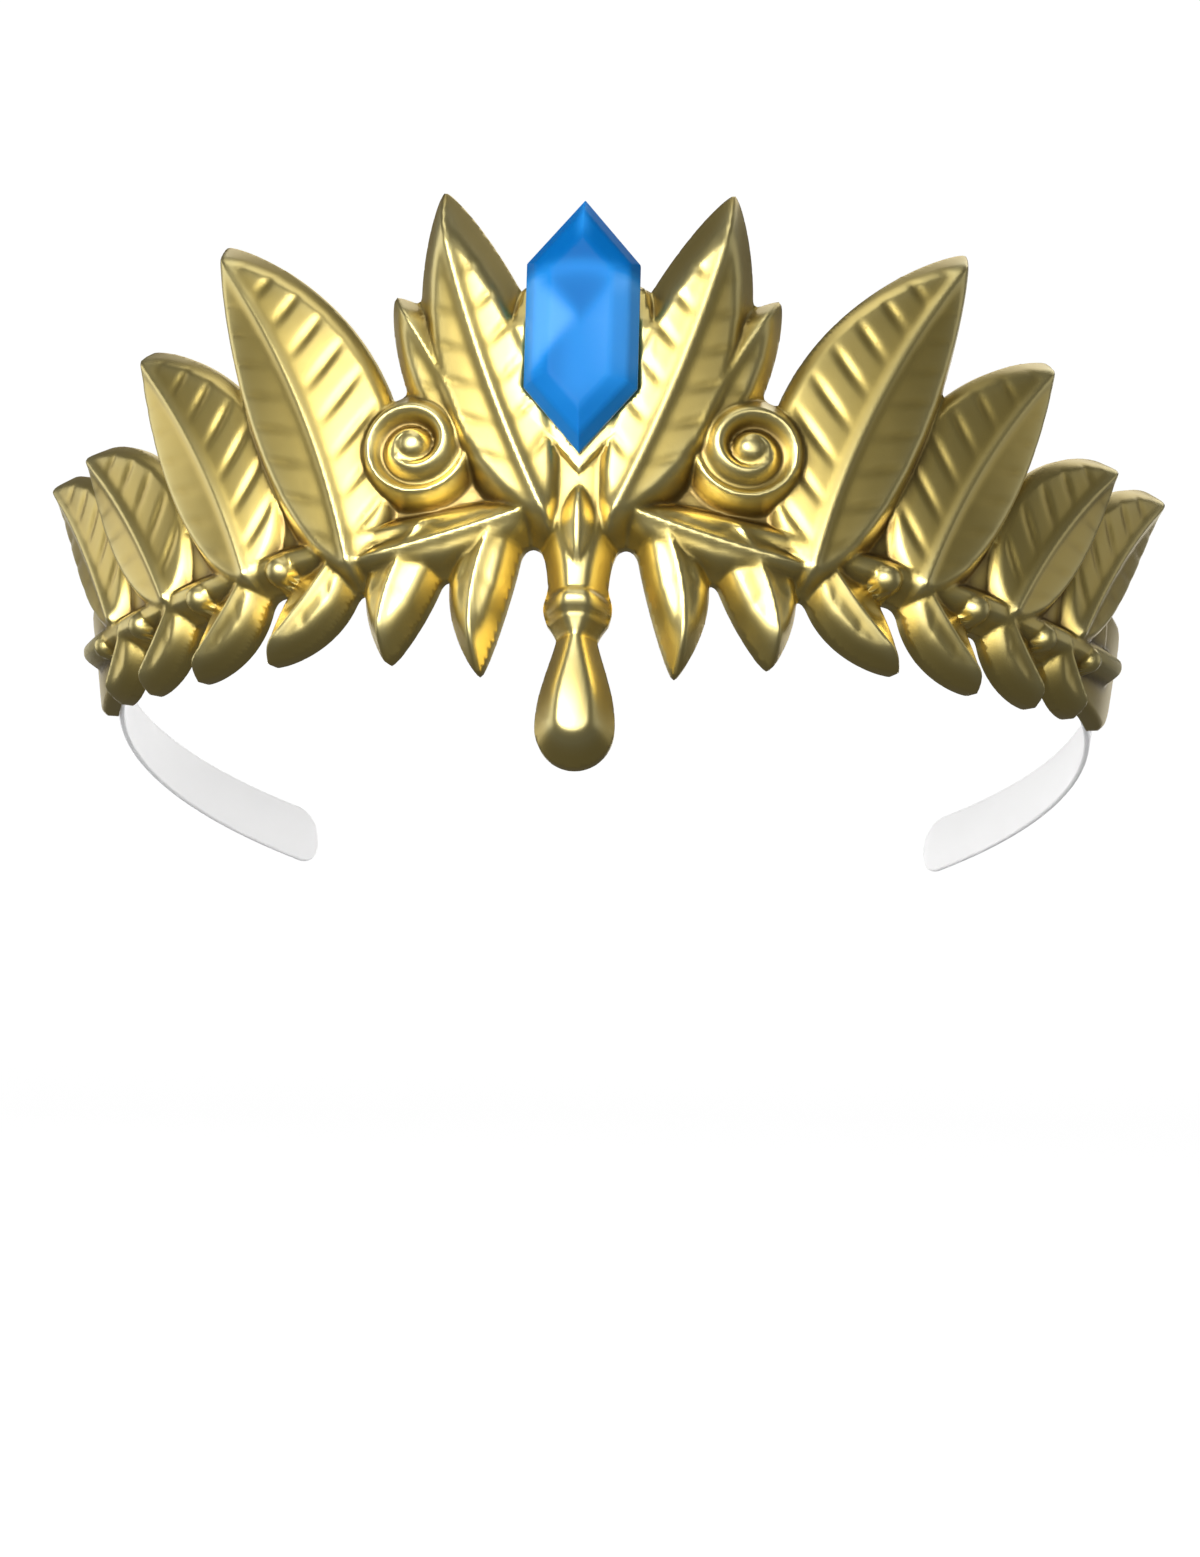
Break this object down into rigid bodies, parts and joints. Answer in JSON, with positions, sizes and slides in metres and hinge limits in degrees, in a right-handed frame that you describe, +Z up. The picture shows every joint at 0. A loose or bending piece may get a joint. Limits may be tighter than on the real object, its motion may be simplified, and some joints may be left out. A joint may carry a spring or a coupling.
{
  "type": "leaf diadem",
  "caption": "Open-backed gold diadem of moulded leaves and scrolls with a long faceted blue stone, a brow drop and soft straps at the temples.",
  "frame": {"origin": "middle of the head opening, at the level of the band line, as worn", "axes": "+X to the wearer's left, -Y to the front, +Z up; the band line dips towards the back"},
  "size_m": [0.1886, 0.1427, 0.1127],
  "materials": {
    "gold": "satin metallic gold paint on moulded plastic",
    "blue_stone": "clear blue cast resin, polished facets",
    "strap": "pale frosted soft plastic"
  },
  "bodies": {
    "root": {"shell": "gold", "stone": "blue_stone", "strap_left": "strap", "strap_right": "strap"}
  },
  "joints": []
}
